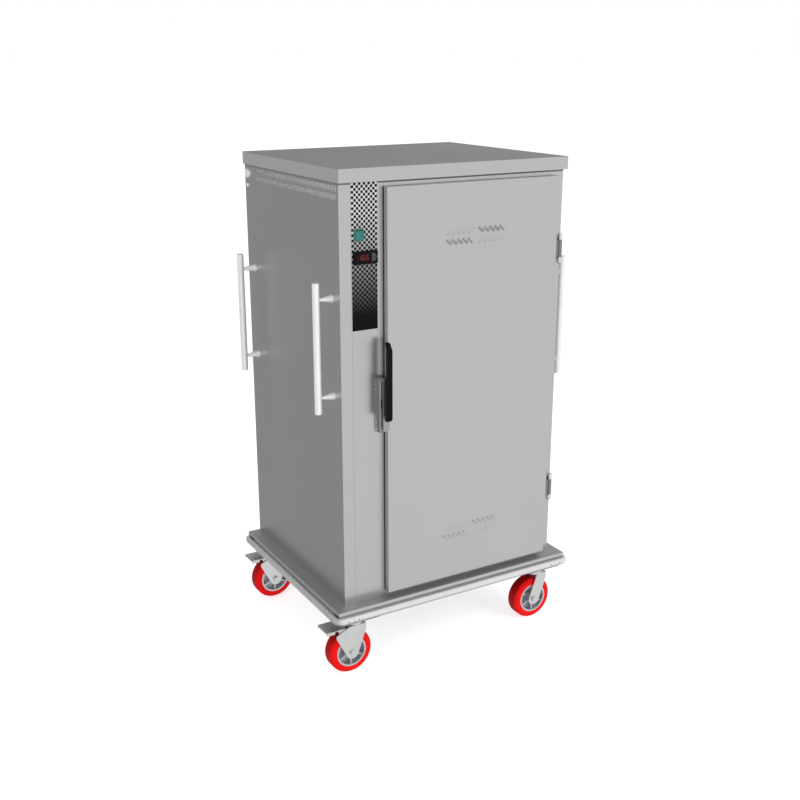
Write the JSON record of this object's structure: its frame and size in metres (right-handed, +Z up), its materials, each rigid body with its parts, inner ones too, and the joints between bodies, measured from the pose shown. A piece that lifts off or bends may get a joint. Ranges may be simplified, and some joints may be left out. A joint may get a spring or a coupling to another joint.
{
  "type": "insulated food carrier",
  "caption": "Upright insulated and heated stainless cabinet with one louvred door, control panel, push bars and a bumpered base on swivel castors.",
  "frame": {"origin": "on the floor below the middle of the base", "axes": "+X to the right seen from the door side, +Y to the back, +Z up; the door and controls face -Y"},
  "size_m": [0.937, 0.752, 1.604],
  "materials": {
    "stainless": "brushed stainless",
    "liner_steel": "polished stainless",
    "shelf_wire": "electropolished wire",
    "painted_frame": "grey powder coat",
    "bumper_alloy": "satin",
    "zinc": "bright zinc plate",
    "rim_alloy": "cast",
    "red_tyre": "smooth polyurethane",
    "chrome": "polished",
    "hinge_steel": "dark satin",
    "cast_grey": "satin cast",
    "black_plastic": "gloss",
    "key_plastic": "matt",
    "overlay_film": "printed film",
    "green_plastic": "gloss",
    "white_plastic": "gloss",
    "insulation": "mineral wool",
    "gasket": "matt",
    "element_steel": "heat darkened",
    "motor_paint": "satin"
  },
  "bodies": {
    "root": {"base_tray": "stainless", "side_panel_left": "stainless", "side_panel_right": "stainless", "back_panel": "stainless", "front_frame": "stainless", "control_fascia": "stainless", "top_cover": "stainless", "chamber_liner": "liner_steel", "air_duct": "liner_steel", "shelf_rails": "shelf_wire", "wire_shelves": "shelf_wire", "base_frame": "painted_frame", "bumper_rails": "bumper_alloy", "bumper_corners": "bumper_alloy", "castor_plates": "zinc", "castor_bolts": "zinc", "hinge_frame_leaves": "chrome", "hinge_pins": "chrome", "trim_screws": "chrome", "push_bars": "chrome", "push_bar_standoffs": "chrome", "power_inlet": "chrome", "latch_keeper": "cast_grey", "controller_housing": "black_plastic", "control_overlay": "overlay_film", "rocker_bezel": "green_plastic", "cabinet_insulation": "insulation", "heater_element": "element_steel", "fan_motor": "motor_paint"},
    "door": {"door_outer_skin": "stainless", "door_inner_pan": "liner_steel", "door_insulation": "insulation", "door_gasket": "gasket", "hinge_door_leaves": "hinge_steel", "latch_body": "cast_grey"},
    "latch_lever": {"latch_lever": "black_plastic"},
    "latch_bolt": {"latch_bolt": "zinc"},
    "rocker": {"rocker_button": "green_plastic"},
    "key_up": {"controller_key_up": "key_plastic"},
    "key_down": {"controller_key_down": "key_plastic"},
    "reset": {"reset_button": "white_plastic"},
    "fan": {"fan_impeller": "rim_alloy"},
    "swivel_fl": {"castor_fork_fl": "zinc", "castor_axle_fl": "zinc"},
    "wheel_fl": {"castor_rim_fl": "rim_alloy", "castor_tyre_fl": "red_tyre"},
    "pedal_fl": {"brake_pedal_fl": "zinc"},
    "swivel_fr": {"castor_fork_fr": "zinc", "castor_axle_fr": "zinc"},
    "wheel_fr": {"castor_rim_fr": "rim_alloy", "castor_tyre_fr": "red_tyre"},
    "swivel_rl": {"castor_fork_rl": "zinc", "castor_axle_rl": "zinc"},
    "wheel_rl": {"castor_rim_rl": "rim_alloy", "castor_tyre_rl": "red_tyre"},
    "pedal_rl": {"brake_pedal_rl": "zinc"},
    "swivel_rr": {"castor_fork_rr": "zinc", "castor_axle_rr": "zinc"},
    "wheel_rr": {"castor_rim_rr": "rim_alloy", "castor_tyre_rr": "red_tyre"}
  },
  "joints": [
    {"name": "door_hinge", "type": "hinge", "parent": "root", "child": "door", "pos_m": [0.389, -0.331, 0.9], "axis": [0, 0, 1], "range_deg": [0, 180]},
    {"name": "latch_pull", "type": "hinge", "parent": "door", "child": "latch_lever", "pos_m": [-0.264, -0.3515, 0.858], "axis": [1, 0, 0], "range_deg": [0, 28], "stiffness_Nm_per_rad": 1.2},
    {"name": "bolt_slide", "type": "slide", "parent": "door", "child": "latch_bolt", "axis": [1, 0, 0], "range_m": [0, 0.0192]},
    {"name": "rocker_tip", "type": "hinge", "parent": "root", "child": "rocker", "pos_m": [-0.3355, -0.317, 1.413], "axis": [-1, 0, 0], "range_deg": [0, 14]},
    {"name": "key_up_press", "type": "slide", "parent": "root", "child": "key_up", "axis": [0, 1, 0], "range_m": [0, 0.0008], "stiffness_N_per_m": 300},
    {"name": "key_down_press", "type": "slide", "parent": "root", "child": "key_down", "axis": [0, 1, 0], "range_m": [0, 0.0008], "stiffness_N_per_m": 300},
    {"name": "reset_press", "type": "slide", "parent": "root", "child": "reset", "axis": [1, 0, 0], "range_m": [0, 0.0025], "stiffness_N_per_m": 400},
    {"name": "fan_spin", "type": "hinge", "parent": "root", "child": "fan", "pos_m": [-0.33, 0, 0.43], "axis": [1, 0, 0], "continuous": true},
    {"name": "swivel_turn_fl", "type": "hinge", "parent": "root", "child": "swivel_fl", "pos_m": [-0.362, -0.3, 0.17], "axis": [0, 0, 1], "continuous": true},
    {"name": "wheel_roll_fl", "type": "hinge", "parent": "swivel_fl", "child": "wheel_fl", "pos_m": [-0.382, -0.3, 0.075], "axis": [0, 1, 0], "continuous": true},
    {"name": "pedal_press_fl", "type": "hinge", "parent": "swivel_fl", "child": "pedal_fl", "pos_m": [-0.4, -0.3, 0.158], "axis": [0, -1, 0], "range_deg": [0, 12]},
    {"name": "swivel_turn_fr", "type": "hinge", "parent": "root", "child": "swivel_fr", "pos_m": [0.362, -0.3, 0.17], "axis": [0, 0, 1], "continuous": true},
    {"name": "wheel_roll_fr", "type": "hinge", "parent": "swivel_fr", "child": "wheel_fr", "pos_m": [0.342, -0.3, 0.075], "axis": [0, 1, 0], "continuous": true},
    {"name": "swivel_turn_rl", "type": "hinge", "parent": "root", "child": "swivel_rl", "pos_m": [-0.362, 0.3, 0.17], "axis": [0, 0, 1], "continuous": true},
    {"name": "wheel_roll_rl", "type": "hinge", "parent": "swivel_rl", "child": "wheel_rl", "pos_m": [-0.382, 0.3, 0.075], "axis": [0, 1, 0], "continuous": true},
    {"name": "pedal_press_rl", "type": "hinge", "parent": "swivel_rl", "child": "pedal_rl", "pos_m": [-0.4, 0.3, 0.158], "axis": [0, -1, 0], "range_deg": [0, 12]},
    {"name": "swivel_turn_rr", "type": "hinge", "parent": "root", "child": "swivel_rr", "pos_m": [0.362, 0.3, 0.17], "axis": [0, 0, 1], "continuous": true},
    {"name": "wheel_roll_rr", "type": "hinge", "parent": "swivel_rr", "child": "wheel_rr", "pos_m": [0.342, 0.3, 0.075], "axis": [0, 1, 0], "continuous": true}
  ],
  "couplings": [
    {"joint": "bolt_slide", "follows": "latch_pull", "m_per_rad": 0.038879}
  ]
}
